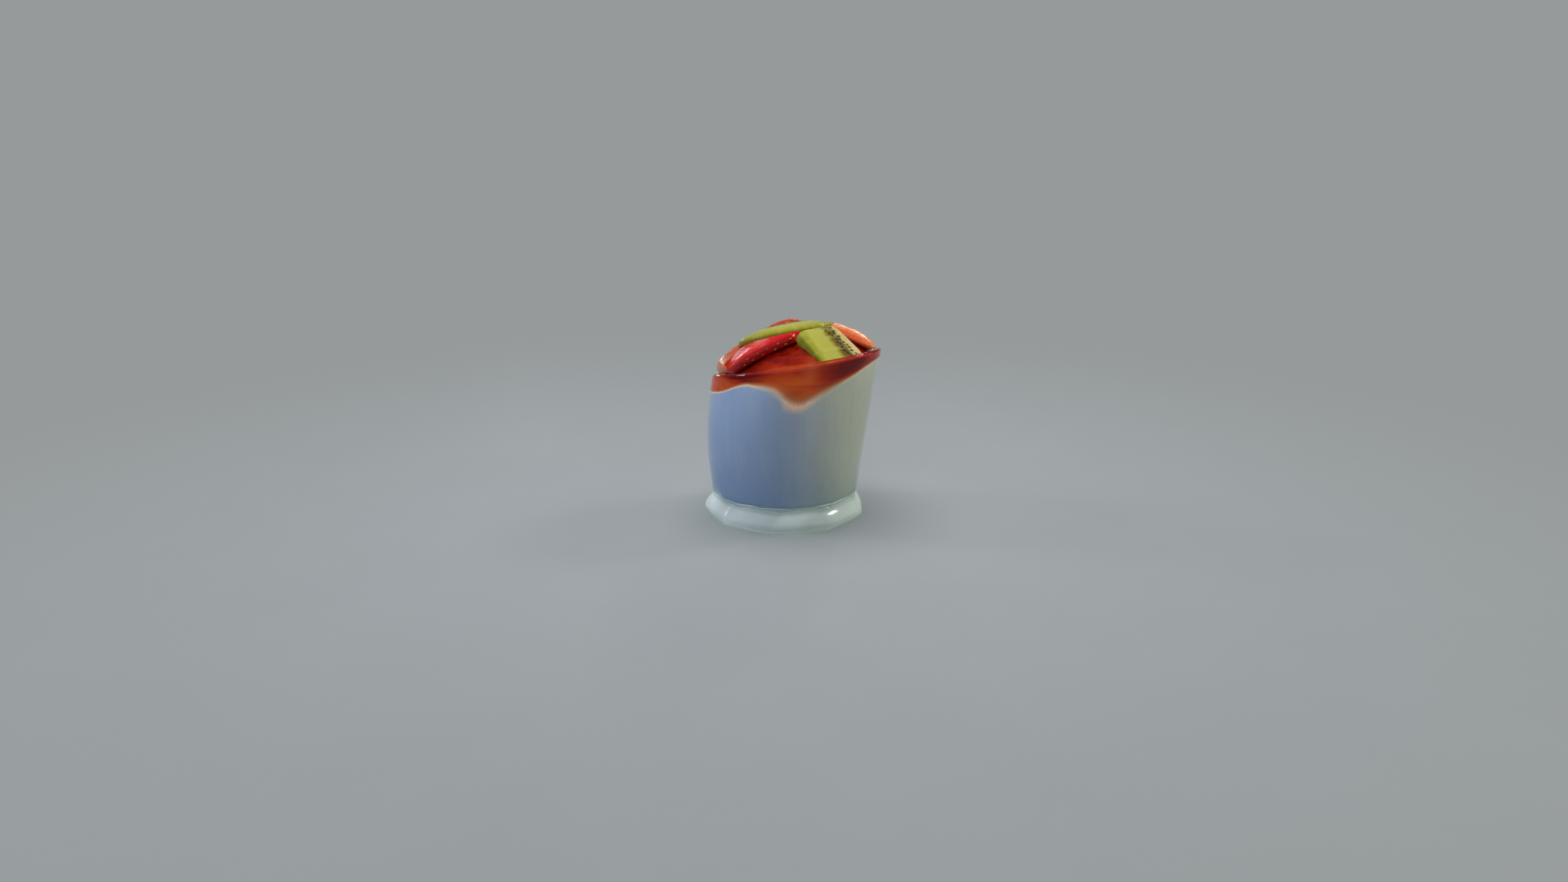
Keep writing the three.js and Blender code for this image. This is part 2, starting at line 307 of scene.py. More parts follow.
def smooth_mound(x, y):
    """Height of the heaped sauce without its lumps."""
    away = np.minimum(np.hypot(x - MOUND_X, y), MOUND_R)
    ball = (MOUND_R**2 + MOUND**2) / (2 * MOUND)
    dome = np.sqrt(ball**2 - away**2) - (ball - MOUND)
    return lip_plane(x, y) - SAUCE_BELOW_LIP + dome


def mound(x, y):
    coarse = np.sin(0.52 * x + 1.1) * np.cos(0.47 * y - 0.4)
    fine = np.sin(0.9 * x - 0.8 * y + 2.3) * np.cos(0.75 * x + 0.95 * y)
    calm = 1 - smoothstep(np.hypot(x - MOUND_X, y) / MOUND_R, 0.82, 0.98)
    return smooth_mound(x, y) + LUMP * (coarse + 0.7 * fine) * calm


def plug(rings, levels, bottom_at, top_at, seat):
    """What fills the glass from one surface up to another, reaching `seat` into its wall. Also
    returns each point's place in the unit disc, with its level from 0 to 1."""
    profile = [(r, 0) for r in rings] + [(1, level) for level in levels]
    profile += [(r, 1) for r in reversed(rings)]
    points, faces = lathe(profile, ROUND, FLUTE_TURN)
    u, v, level = points.T
    x, y, z = u * BODY_R, v * BODY_R, np.full(len(points), FULL_Z)
    for _ in range(8):
        radius = inner_radius(x, y, z) + seat
        x = u * radius + lean_at(z)
        y = v * radius
        z = lerp(bottom_at(x, y), top_at(x, y), level)
    return np.column_stack([x, y, z]), faces, points


# The form of the fruit

def on_mound(x, y, heading, lift, roll=0.0, pitch=0.0):
    """A frame on the mound, with X along the piece and Z off the mound."""
    step = 0.5
    slope_x = (smooth_mound(x + step, y) - smooth_mound(x - step, y)) / (2 * step)
    slope_y = (smooth_mound(x, y + step) - smooth_mound(x, y - step)) / (2 * step)
    up = Vector((-slope_x, -slope_y, 1)).normalized()
    along = Vector((math.cos(math.radians(heading)), math.sin(math.radians(heading)), 0))
    along = (along - up * along.dot(up)).normalized()
    axes = Matrix((along, up.cross(along), up)).transposed()
    turn = Matrix.Rotation(math.radians(roll), 3, "X") @ Matrix.Rotation(math.radians(pitch), 3, "Y")
    rest = Vector((x, y, smooth_mound(x, y))) + up * lift
    return np.array(axes @ turn), np.array(rest)


def draped(x, y, z, bend):
    """Lays flat points over a ball of radius `bend`."""
    far = np.maximum(np.hypot(x, y), 1e-6)
    out = (bend + z) * np.sin(far / bend)
    return np.column_stack([x / far * out, y / far * out, (bend + z) * np.cos(far / bend) - bend])


def slice_points(outline, thick, bend, place, wobble, seed, base=0.0, steps=160):
    """A slice over a ball of radius `bend`. Returns points, faces and each point's place in the
    unit disc, with its layer from -1 to 1."""
    face = np.linspace(0, 0.9, 36)
    rim = [(0.9 + 0.1 * math.cos(a) ** 0.7, math.copysign(abs(math.sin(a)) ** 0.75, a))
           for a in np.radians(np.linspace(-80, 80, 13))]
    profile = [(r, -1) for r in face] + rim + [(r, 1) for r in face[::-1]]
    disc, faces = lathe(profile, steps)
    u, v, w = disc.T
    x, y = outline(u, v)
    swell = 1 + wobble * noise_at(as_vectors(u, v) * 3, 1.0, seed) * np.hypot(u, v)
    local = draped(x * swell, y * swell, base + thick / 2 * (1 + w), bend)
    axes, rest = on_mound(**place)
    return local @ axes.T + rest, faces, disc


def unit_ball(rings, steps):
    """Points and faces of a ball of radius 1, with its rings round Z."""
    return lathe([(math.cos(a), math.sin(a)) for a in np.radians(np.linspace(-90, 90, rings))], steps)


def crescent_points(long, wide, deep, place):
    """A curved segment with a round back and a thin inner edge. Returns points, faces and each
    point's place in the unit ball."""
    hook = 0.13 * long
    upright, faces = unit_ball(72, 96)
    ball = np.column_stack([upright[:, 2], upright[:, 0], upright[:, 1]])
    u, v, w = ball.T
    x = long / 2 * u
    y = wide / 2 * v - hook * u * u
    z = deep / 2 * (0.72 + 0.28 * v) * w
    axes, rest = on_mound(**place)
    return np.column_stack([x, y, z]) @ axes.T + rest, faces, ball


def tree_of(points, faces):
    return BVHTree.FromPolygons(points.tolist(), faces)


def underside(tree, x, y):
    """Height of a piece's lower face over a point, or None."""
    hit = tree.ray_cast(Vector((x, y, 0)), Vector((0, 0, 1)))
    return None if hit[0] is None else hit[0].z


SINK = 0.12  # how far fruit reaches into the fruit that lies on it
THIN = 0.3  # how much lower than its top its own underside is pressed there


def tucked(points, trees, layer):
    """Presses what would stand through another piece down under it. The layer runs from -1 at the
    piece's underside to 1 on top."""
    points = points.copy()
    for tree in trees:
        for i, (x, y, z) in enumerate(points):
            under = underside(tree, x, y)
            if under is not None:
                points[i, 2] = min(z, under + SINK + THIN * min(layer[i], 0))
    return points


def eased(points, before, faces, rounds):
    """Spreads a step that was pressed into a piece out to a slope."""
    pairs = np.array([(face[k - 1], face[k]) for face in faces for k in range(len(face))])
    pairs = np.concatenate([pairs, pairs[:, ::-1]])
    shares = np.bincount(pairs[:, 0], minlength=len(points))
    drop = points[:, 2] - before[:, 2]
    for _ in range(rounds):
        around = np.bincount(pairs[:, 0], weights=drop[pairs[:, 1]], minlength=len(points))
        drop = np.minimum(drop, around / np.maximum(shares, 1))
    return np.column_stack([points[:, 0:2], before[:, 2] + drop])


LIP_GAP = 0.1  # between fruit and the inner wall
LIP_PAST = 0.8  # so far above the lip, fruit may reach over it


def inside_lip(points):
    """Keeps fruit off the inner wall of the lip."""
    x, y, z = points.T
    from_axis = x - lean_at(z)
    radius = np.maximum(np.hypot(from_axis, y), 1e-6)
    low = 1 - smoothstep(z - lip_plane(x, y), 0.0, LIP_PAST)
    most = hollow_radius(z) - LIP_GAP
    scale = np.where(radius > most, lerp(1, most / radius, low), 1)
    return np.column_stack([lean_at(z) + from_axis * scale, y * scale, z])


# Materials

def rgb(red, green, blue):
    """A colour as it shows on screen, 0 to 255, as the shader's linear colour."""
    channel = [c / 255 for c in (red, green, blue)]
    linear = [c / 12.92 if c <= 0.04045 else ((c + 0.055) / 1.055) ** 2.4 for c in channel]
    return (*linear, 1)


BACKGROUND = rgb(150, 154, 155)
ROOM = rgb(134, 154, 174)
BLED_SAUCE = rgb(214, 112, 56)
BLED_CREAM = rgb(255, 208, 178)
# Plain cream carries the same painted cool light as the cream's front
PLAIN_CREAM = rgb(186, 196, 211)

# The stain's shares over which the sauce turns to each of the last three colours
TO_BLED_SAUCE = (0.0, 0.3)
TO_BLED_CREAM = (0.3, 0.6)
TO_PLAIN_CREAM = (0.6, 0.94)

# The glass by its parts, the foot's two colours being painted light, the light that its shadow lets
# through, and how it tints what is deep
CLEAR_GLASS = (0.95, 0.985, 0.97, 1)
FOOT_LIT_LEFT = (0.97, 0.995, 1.0, 1)
FOOT_SHADED_RIGHT = (0.88, 0.94, 0.85, 1)
SHADOW_TINT = (0.9, 0.96, 0.94, 1)
DEPTH_TINT = (0.72, 0.93, 0.86, 1)


class Nodes:
    """Short calls that add nodes to a tree."""

    def __init__(self, tree):
        self.tree = tree

    def set(self, node, socket, value):
        if isinstance(value, bpy.types.NodeSocket):
            self.tree.links.new(value, node.inputs[socket])
        else:
            node.inputs[socket].default_value = value

    def add(self, kind, inputs=(), **settings):
        node = self.tree.nodes.new("ShaderNode" + kind)
        for key, value in settings.items():
            setattr(node, key, value)
        for socket, value in dict(inputs).items():
            self.set(node, socket, value)
        return node

    def attribute(self, name):
        return self.add("Attribute", attribute_name=name).outputs["Vector"]

    def place(self):
        """The point's place in millimetres."""
        where = self.add("TexCoord").outputs["Object"]
        return self.add("VectorMath", {0: where, 3: 1 / MM}, operation="SCALE").outputs[0]

    def parts(self, vector):
        return self.add("SeparateXYZ", {0: vector}).outputs

    def scaled(self, vector, amounts):
        return self.add("VectorMath", {0: vector, 1: amounts}, operation="MULTIPLY").outputs[0]

    def math(self, operation, a, b):
        return self.add("Math", {0: a, 1: b}, operation=operation).outputs[0]

    def noise(self, vector, scale, detail, roughness=0.5, distortion=0.0):
        inputs = {"Vector": vector, "Scale": scale, "Detail": detail, "Roughness": roughness,
                  "Distortion": distortion}
        return self.add("TexNoise", inputs).outputs["Fac"]

    def cells(self, vector):
        cells = self.add("TexVoronoi", {"Vector": vector, "Scale": 1.0}, feature="SMOOTH_F1")
        return cells.outputs["Distance"]

    def span(self, value, low, high, to_low=0.0, to_high=1.0, curve="SMOOTHSTEP"):
        """From one value to another, while the input goes from low to high."""
        inputs = {"Value": value, "From Min": low, "From Max": high, "To Min": to_low, "To Max": to_high}
        return self.add("MapRange", inputs, interpolation_type=curve).outputs[0]

    def ramp(self, value, stops):
        node = self.add("ValToRGB", {0: value})
        ramp = node.color_ramp
        while len(ramp.elements) < len(stops):
            ramp.elements.new(0.5)
        for element, (at, colour) in zip(ramp.elements, stops):
            element.position = at
            element.color = colour
        return node.outputs[0]

    def mix(self, share, a, b, blend="MIX"):
        """The first colour, with this share of the second."""
        node = self.add("Mix", data_type="RGBA", blend_type=blend)
        self.set(node, 0, share)
        self.set(node, 6, a)
        self.set(node, 7, b)
        return node.outputs[2]

    def turning(self, value, between, a, b):
        """The first colour below two limits, and the second above them."""
        return self.mix(self.span(value, *between, curve="LINEAR"), a, b)

    def bump(self, height, distance, strength):
        """Relief of a height from 0 to 1, `distance` mm deep."""
        inputs = {"Height": height, "Distance": distance * MM, "Strength": strength}
        return self.add("Bump", inputs).outputs[0]

    def varied(self, value, pattern, amount):
        """The value, moved up and down by half the amount with a pattern from 0 to 1."""
        moved = self.math("MULTIPLY", self.math("SUBTRACT", pattern, 0.5), amount)
        return self.math("ADD", value, moved)

    def blended(self, a, b, share):
        """So much of the first value, and the rest of the second."""
        return self.math("ADD", self.math("MULTIPLY", a, share), self.math("MULTIPLY", b, 1 - share))

    def length(self, vector):
        return self.add("VectorMath", {0: vector}, operation="LENGTH").outputs[1]

    def direction(self, vector):
        return self.add("VectorMath", {0: vector}, operation="NORMALIZE").outputs[0]


class Shader(Nodes):
    """A Principled material."""

    def __init__(self, name, **sockets):
        self.material = bpy.data.materials.new(name)
        self.material.use_nodes = True
        super().__init__(self.material.node_tree)
        self.surface = self.tree.nodes["Principled BSDF"]
        self.output = self.tree.nodes["Material Output"]
        self.paint(**sockets)

    def paint(self, **sockets):
        for key, value in sockets.items():
            self.set(self.surface, key.replace("_", " "), value)
        return self.material


def glass_material():
    """Clear in the wall and milky in the pressed foot, by the attribute `foot`; the foot has painted
    light, lighter and bluer at its left.
    """
    s = Shader("cup_glass", IOR=1.38)
    spot = s.place()
    foot = s.parts(s.attribute("foot"))[0]
    waves = s.noise(spot, 0.07, 2)
    cloud = s.noise(spot, 0.06, 2)
    specks = s.noise(spot, 1.4, 4, 0.6)
    milk = s.math("MULTIPLY", foot, s.span(cloud, 0.35, 0.65, 0.42, 0.62))
    # Painted light: the foot is lighter and bluer at the left, darker and greener at the right
    right = s.span(s.parts(spot)[0], -30, 30)
    colour = s.mix(foot, CLEAR_GLASS, s.mix(right, FOOT_LIT_LEFT, FOOT_SHADED_RIGHT))
    rough = s.math("ADD", s.span(specks, 0.35, 0.75, 0.0, 0.04), s.math("MULTIPLY", foot, 0.05))
    s.paint(Base_Color=colour, Transmission_Weight=s.math("SUBTRACT", 1.0, milk), Roughness=rough,
            Normal=s.bump(waves, 0.25, 0.35))
    lamps = s.add("LightPath").outputs["Is Shadow Ray"]
    tinted = s.add("BsdfTransparent", {"Color": SHADOW_TINT}).outputs[0]
    mixed = s.add("MixShader", {0: lamps, 1: s.surface.outputs[0], 2: tinted}).outputs[0]
    s.set(s.output, "Surface", mixed)
    inside = s.add("VolumeAbsorption", {"Color": DEPTH_TINT, "Density": 14.0})
    s.set(s.output, "Volume", inside.outputs[0])
    return s.material


def cream_material():
    """Tinted by painted light at the front, darker and bluish at the left and lighter and warmer at the
    right, as from cool and warm light at the two sides; plain at the back, and stained below the sauce.
    """
    s = Shader("set_cream", Roughness=0.5, Specular_IOR_Level=0.15, Subsurface_Weight=0.3,
               Subsurface_Scale=0.002)
    spot = s.place()
    # Painted light: a cool bluish tint on the left and a lighter, warmer one on the right, fading to plain
    # cream at the back
    side = s.span(s.parts(spot)[0], -24, 24)
    body = s.ramp(side, [(0.0, rgb(148, 164, 198)), (0.27, rgb(160, 174, 204)), (0.45, rgb(160, 172, 198)),
                         (0.6, rgb(162, 170, 190)), (0.78, rgb(186, 189, 194)), (1.0, rgb(208, 208, 188))])
    body = s.mix(s.span(s.parts(spot)[1], -16, 22), body, rgb(196, 197, 196))
    cloud = s.noise(s.scaled(spot, (0.1, 0.1, 0.05)), 1.0, 3)
    body = s.mix(s.span(cloud, 0.35, 0.7, 0.0, 0.2), body, rgb(186, 194, 210))
    streaks = s.noise(s.scaled(spot, (0.35, 0.35, 0.1)), 1.0, 3)
    faded = s.math("ADD", s.parts(s.attribute("stained"))[0], s.span(streaks, 0.3, 0.7, -0.05, 0.05))
    bled = s.turning(faded, TO_BLED_CREAM, BLED_SAUCE, BLED_CREAM)
    body = s.turning(faded, TO_PLAIN_CREAM, bled, body)
    smears = s.noise(s.scaled(spot, (0.55, 0.55, 0.03)), 1.0, 3, 0.6)
    body = s.mix(s.span(smears, 0.4, 0.7, 0.0, 0.5), body, (0.88, 0.9, 0.93, 1), "MULTIPLY")
    # Painted shade: darker and bluer toward the bottom
    body = s.mix(s.span(s.parts(spot)[2], 6, 30, 1.0, 0.0), body, (0.8, 0.86, 0.93, 1), "MULTIPLY")
    pores = s.noise(spot, 2.2, 4, 0.6)
    return s.paint(Base_Color=body, Normal=s.bump(pores, 0.06, 0.5))


def sauce_material(name, wet):
    """Wet on top, and without its own shine where it lies on the glass. The attribute `tone` has how
    dark the sauce is, with painted shadow under the strawberry slice, and how far it has faded."""
    s = Shader(name, IOR=1.4, Specular_IOR_Level=0.5 * wet, Coat_Weight=0.6 * wet, Coat_Roughness=0.04,
               Subsurface_Weight=0.75, Subsurface_Scale=0.006, Subsurface_Radius=(1.0, 0.2, 0.06))
    spot = s.place()
    tone = s.parts(s.attribute("tone"))
    flow = s.noise(s.scaled(spot, (0.06, 0.06, 0.35)), 1.0, 3, 0.5, 0.6)
    pulp = s.noise(spot, 0.55, 4, 0.55)
    # How dark the sauce is, painted shadow under the strawberry slice included
    dark = s.varied(s.varied(tone[0], flow, 0.6), pulp, 0.2)
    colour = s.ramp(dark, [(0.0, rgb(218, 104, 18)), (0.3, rgb(202, 68, 2)), (0.55, rgb(166, 34, 1)),
                           (0.8, rgb(118, 10, 1)), (1.0, rgb(96, 5, 1))])
    colour = s.turning(tone[1], TO_BLED_SAUCE, colour, BLED_SAUCE)
    colour = s.turning(tone[1], TO_BLED_CREAM, colour, BLED_CREAM)
    colour = s.turning(tone[1], TO_PLAIN_CREAM, colour, PLAIN_CREAM)
    fibres = s.cells(s.scaled(spot, (0.5, 0.5, 0.5)))
    relief = s.bump(s.blended(pulp, fibres, 0.7), 0.3 * wet, 0.5)
    return s.paint(Base_Color=colour, Roughness=s.span(pulp, 0.3, 0.7, 0.08, 0.22), Normal=relief,
                   Coat_Normal=relief)


def kiwi_material(name, dull):
    """By each point's place from the kiwi's middle, in kiwi radii, in the attribute `cut`. Dull is
    how much darker its outer flesh is."""
    s = Shader(name, IOR=1.36, Subsurface_Weight=0.15, Subsurface_Scale=0.0015, Coat_Weight=0.2,
               Specular_IOR_Level=0.1, Coat_Roughness=0.08)
    flat = s.scaled(s.attribute("cut"), (1, 1, 0))
    way = s.direction(flat)
    rays = s.noise(s.scaled(way, (9, 9, 9)), 1.0, 2)
    fine = s.noise(s.scaled(way, (26, 26, 26)), 1.0, 2)
    wander = s.noise(s.place(), 0.35, 3)
    far = s.varied(s.length(flat), rays, 0.12)
    flesh = s.ramp(far, [(0.1, rgb(222, 194, 140)), (0.2, rgb(206, 184, 112)), (0.28, rgb(106, 84, 34)),
                         (0.42, rgb(116, 92, 38)), (0.54, rgb(184, 180, 80)), (0.84, rgb(188, 184, 82)),
                         (0.93, rgb(158, 160, 42)), (1.0, rgb(156, 156, 40))])
    flesh = s.mix(s.span(far, 0.5, 0.92, 0.0, dull), flesh, rgb(128, 118, 22))
    flesh = s.mix(s.span(rays, 0.45, 0.7, 0.0, 0.22), flesh, rgb(206, 200, 116))
    flesh = s.mix(s.span(fine, 0.5, 0.72, 0.0, 0.2), flesh, rgb(168, 168, 62))
    flesh = s.mix(s.span(wander, 0.4, 0.75, 0.0, 0.35), flesh, rgb(158, 152, 74))
    relief = s.bump(s.blended(rays, wander, 0.5), 0.3, 0.6)
    return s.paint(Base_Color=flesh, Roughness=s.span(wander, 0.3, 0.7, 0.16, 0.34), Normal=relief,
                   Coat_Normal=relief)


def strawberry_material(name, pale):
    """By each point's place in the slice's disc, in the attribute `cut`. Pale is its share of a pale
    pink."""
    s = Shader(name, IOR=1.4, Subsurface_Weight=0.5, Subsurface_Scale=0.005, Coat_Weight=0.7,
               Specular_IOR_Level=0.4, Subsurface_Radius=(1.0, 0.12, 0.08), Coat_Roughness=0.07)
    flat = s.scaled(s.attribute("cut"), (1, 1.25, 0))
    way = s.direction(flat)
    rays = s.noise(s.scaled(way, (7, 7, 7)), 1.0, 2)
    veins = s.noise(s.scaled(way, (20, 20, 20)), 1.0, 2)
    mottle = s.noise(s.place(), 0.5, 4, 0.6)
    far = s.varied(s.length(flat), mottle, 0.22)
    flesh = s.ramp(far, [(0.0, rgb(240, 168, 140)), (0.12, rgb(240, 150, 124)), (0.24, rgb(232, 100, 84)),
                         (0.36, rgb(220, 46, 42)), (0.6, rgb(212, 24, 24)), (0.86, rgb(204, 14, 14)),
                         (0.95, rgb(198, 10, 10)), (1.0, rgb(196, 10, 9))])
    outer = s.span(far, 0.25, 0.4)
    within = s.math("SUBTRACT", outer, s.span(far, 0.7, 0.86))
    vein = s.math("MULTIPLY", s.span(veins, 0.52, 0.68, 0.0, 0.55), within)
    flesh = s.mix(vein, flesh, rgb(232, 110, 98))
    flesh = s.mix(s.math("MULTIPLY", s.span(rays, 0.5, 0.7, 0.0, 0.35), outer), flesh, rgb(222, 24, 20))
    flesh = s.mix(pale, flesh, rgb(232, 146, 124))
    relief = s.bump(s.blended(mottle, veins, 0.6), 0.4, 0.7)
    return s.paint(Base_Color=flesh, Roughness=s.span(mottle, 0.3, 0.7, 0.14, 0.32), Normal=relief,
                   Coat_Normal=relief)


def peach_material(name, ripe):
    """From the round back to the thin inner edge by the attribute `cut`, y from 1 to -1. Ripe is its
    share of a deep orange."""
    s = Shader(name, IOR=1.4, Subsurface_Weight=0.2, Subsurface_Scale=0.002, Coat_Weight=0.7,
               Coat_Roughness=0.07)
    cut = s.attribute("cut")
    fibre = s.noise(s.scaled(cut, (11, 1.2, 2.5)), 1.0, 3, 0.6)
    threads = s.noise(s.scaled(cut, (34, 2.0, 4.0)), 1.0, 2)
    mottle = s.noise(s.place(), 0.3, 3)
    back = s.blended(s.parts(cut)[1], fibre, 0.6)
    flesh = s.ramp(s.span(back, -0.45, 0.7), [(0.0, rgb(206, 66, 34)), (0.22, rgb(230, 112, 58)),
                                              (0.45, rgb(240, 158, 96)), (0.75, rgb(244, 182, 120)),
                                              (1.0, rgb(248, 204, 150))])
    flesh = s.mix(s.span(threads, 0.5, 0.7, 0.0, 0.35), flesh, rgb(250, 214, 160))
    flesh = s.mix(s.span(mottle, 0.5, 0.75, 0.0, 0.25), flesh, rgb(232, 128, 66))
    flesh = s.mix(ripe, flesh, rgb(202, 90, 42))
    relief = s.bump(s.blended(fibre, threads, 0.5), 0.35, 0.6)
    return s.paint(Base_Color=flesh, Roughness=s.span(mottle, 0.3, 0.7, 0.16, 0.34), Normal=relief,
                   Coat_Normal=relief)


def seed_material(name, colour, tip):
    """Mottled with two colours."""
    s = Shader(name, Roughness=0.3, Coat_Weight=0.6, Coat_Roughness=0.08)
    grain = s.noise(s.place(), 2.5, 3)
    return s.paint(Base_Color=s.mix(s.span(grain, 0.35, 0.7), colour, tip),
                   Normal=s.bump(grain, 0.05, 0.6))


# Seeds

FLESH, SEED = 0, 1  # places in a fruit's list of materials


def seed_shape(long, wide, high):
    """A drop with one pointed end along +X."""
    points, faces = unit_ball(7, 10)
    across, up, along = points.T
    taper = 1 - 0.35 * along
    drop = [along * long / 2, across * taper * wide / 2, up * taper * high / 2]
    return np.column_stack(drop), faces


def seed_part(points, faces):
    """A seed as a part to join, with nothing for the fruit's attribute."""
    return points, faces, np.zeros((len(points), 3)), SEED


def joined(parts):
    """Joins (points, faces, values, material) parts to one mesh's lists."""
    points, faces, values, materials = [], [], [], []
    start = 0
    for part_points, part_faces, part_values, material in parts:
        points.append(part_points)
        faces += [tuple(start + i for i in face) for face in part_faces]
        values.append(part_values)
        materials += [material] * len(part_faces)
        start += len(part_points)
    return np.vstack(points), faces, np.vstack(values), materials


def turned(x, y, angle):
    c, s = math.cos(angle), math.sin(angle)
    return c * x - s * y, s * x + c * y


# Glass and contents

def glass():
    points, faces = glass_points()
    piece = make_object("glass", points, faces, [glass_material()])
    foot = 1 - smoothstep(points[:, 2], WAIST_Z - 1, WAIST_Z + 1.5)
    store(piece, "foot", as_vectors(foot))
    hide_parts("glass_cup")


def cream():
    rings = np.linspace(0, 1, 12)
    levels = 1 - (1 - np.linspace(0, 1, 56)[1:-1]) ** 1.8
    points, faces, _ = plug(rings, levels, lambda x, y: FLOOR_Z - SEAT, sauce_floor, SEAT)
    piece = make_object("set_cream", points, faces, [cream_material()])
    store(piece, "stained", as_vectors(stain(degrees_from_front(*points.T), points[:, 2])))
    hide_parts("panna_cotta")


# Patches of darker and lighter sauce at the front, mostly seen through the glass; the last two dark ones
# are painted shadow on the top, under the strawberry slice:
# middle x and z, width along and across, tilt in degrees, amount
SAUCE_DARK_AND_SHADOW = [(-13, 56.8, 9, 2.2, 6, 0.6), (18, 57.8, 9, 2.0, 32, 0.55), (-4, 65.5, 13, 3.5, 16, 0.25),
              (-14, 62, 7, 2.0, 20, 0.15)]
SAUCE_LIGHT = [(0, 56.2, 10, 2.8, -4, 0.5), (8, 51.6, 12, 1.4, 34, 0.35), (-24, 52, 4, 3, 0, 0.35)]
SAUCE_FADE = [(8.5, 58.5, 1.6, 3.5, -20, 0.12)]

SAUCE_SEAT = SEAT + 0.01  # how far the sauce reaches into the glass wall
SAUCE_SINK = 0.04  # and into the cream
WAVE_HIGH, WAVE_SIZE = 0.22, 4.2  # relief on the mound
GRAIN_HIGH, GRAIN_SIZE = 0.03, 1.9
POCKET = 0.2  # how far the sauce reaches into the fruit that lies on it
FADED_SIDE = 0.97  # the stain is on what lies further out than this, in radii


def patches(listed, x, z):
    """The sum of soft oval patches at each point."""
    total = np.zeros(len(x))
    for at_x, at_z, long, high, tilt, amount in listed:
        along, across = turned(x - at_x, z - at_z, -math.radians(tilt))
        total += amount * np.exp(-0.5 * ((along / long) ** 2 + (across / high) ** 2))
    return total


def sauce(fruit_trees):
    rings = np.linspace(0, 1, 110) ** 0.9
    levels = np.linspace(0, 1, 16)[1:-1]
    points, faces, disc = plug(rings, levels, lambda x, y: sauce_floor(x, y) - SAUCE_SINK, mound,
                               SAUCE_SEAT)
    top = disc[:, 2] == 1
    away = np.hypot(disc[:, 0], disc[:, 1])
    calm = top * (1 - smoothstep(away, 0.86, 0.99))
    relief = WAVE_HIGH * noise_at(points, WAVE_SIZE, 1) + GRAIN_HIGH * noise_at(points, GRAIN_SIZE, 2)
    points[:, 2] += calm * relief
    for i in np.flatnonzero(top):
        x, y, z = points[i]
        for tree in fruit_trees:
            under = underside(tree, x, y)
            if under is not None:
                z = min(z, under + POCKET)
        points[i, 2] = z
    on_top = [int(any(top[i] for i in face)) for face in faces]
    skins = [sauce_material("fruit_sauce_side", 0.0), sauce_material("fruit_sauce", 1.0)]
    piece = make_object("fruit_sauce_top", points, faces, skins, on_top)
    x, y, z = points.T
    from_front = degrees_from_front(x, y, z)
    front = smoothstep(np.cos(np.radians(from_front)), -0.2, 0.4)
    # The dark patches include painted shadow on the top under the strawberry slice
    dark = 0.5 + front * (patches(SAUCE_DARK_AND_SHADOW, x, z) - patches(SAUCE_LIGHT, x, z))
    fade = np.maximum(stain(from_front, z) * (away > FADED_SIDE), front * patches(SAUCE_FADE, x, z))
    store(piece, "tone", as_vectors(dark, fade))
    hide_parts("fruit_sauce")


# Fruit

# Where each piece lies on the mound, and its size in millimetres
KIWI_PLACE = dict(x=0.9, y=3.2, heading=0, lift=1.4, pitch=3.5)
KIWI_THICK, KIWI_BEND = 2.8, 46.0
WEDGE_PLACE = dict(x=14.4, y=-17.3, heading=0, lift=-3.2, roll=18, pitch=12)
WEDGE_THICK, WEDGE_BEND = 5.0, 140.0
WEDGE_LEFT, WEDGE_BACK = (-12, 2.3), (1.2, 9.8)
WEDGE_RIGHT, WEDGE_FRONT = (13.6, -0.6), (-1.5, -9.6)
BERRY_PLACE = dict(x=-5.5, y=-11.5, heading=14, lift=0.4)
BERRY_THICK, BERRY_BEND = 3.6, 40.0
SMALL_X, SMALL_Y, SMALL_TURN = -0.4, 10.9, math.radians(190)
SMALL_THICK = 1.9
PEACH_WIDE, PEACH_DEEP = 9.6, 7.2
LEFT_PEACH = dict(x=-18.9, y=-3.5, heading=76, lift=2)
RIGHT_PEACH = dict(x=22.7, y=-4.4, heading=-20, lift=0.8)

# Seeds: how many, or how far apart, and how long, wide and high each one is
KIWI_SEEDS, KIWI_SEED = 46, (1.6, 0.8, 0.6)
WEDGE_SEEDS, WEDGE_SEED = 20, (1.5, 0.75, 0.6)
BERRY_SEED_GAP, BERRY_SEED = 2.0, (1.0, 0.6, 0.45)
SMALL_SEED_GAP, SMALL_SEED = 2.2, (0.9, 0.6, 0.4)
SEED_VARIES = (0.85, 1.15)
LIP_ROOM = 1.2  # seeds nearer than this to the glass's inner wall are left out


def kiwi_outline(u, v):
    return 18 * u, 17.8 * v * (1 + 0.04 * u)


def small_outline(u, v):
    x, y = turned(5.6 * u, 6.4 * v * (1 - 0.3 * u), SMALL_TURN)
    return SMALL_X + x, SMALL_Y + y


def strawberry_outline(u, v):
    return 17.5 * u, 7 * v * (1 + 0.3 * u - 0.12 * u * u)


def squared(u, v):
    """From the unit disc to a square with rounded corners, from -1 to 1."""
    far = np.maximum(np.hypot(u, v), 1e-6)
    power = 7
    longer = np.maximum(np.abs(u), np.abs(v)) / far
    shorter = np.minimum(np.abs(u), np.abs(v)) / far
    reach = np.maximum(longer**power + shorter**power, 0.05) ** (-1 / power)
    return u * reach, v * reach


def wedge_point(a, b):
    """Flat place on the wedge: a goes from -1 at its front left edge to 1 at its back right edge, and
    b from -1 at its front right edge to 1 at its back left edge."""
    a, b = (1 + a) / 2, (1 + b) / 2
    corners = zip(WEDGE_FRONT, WEDGE_RIGHT, WEDGE_LEFT, WEDGE_BACK)
    return [lerp(lerp(front, right, a), lerp(left, back, a), b) for front, right, left, back in corners]


def wedge_outline(u, v):
    return wedge_point(*squared(u, v))


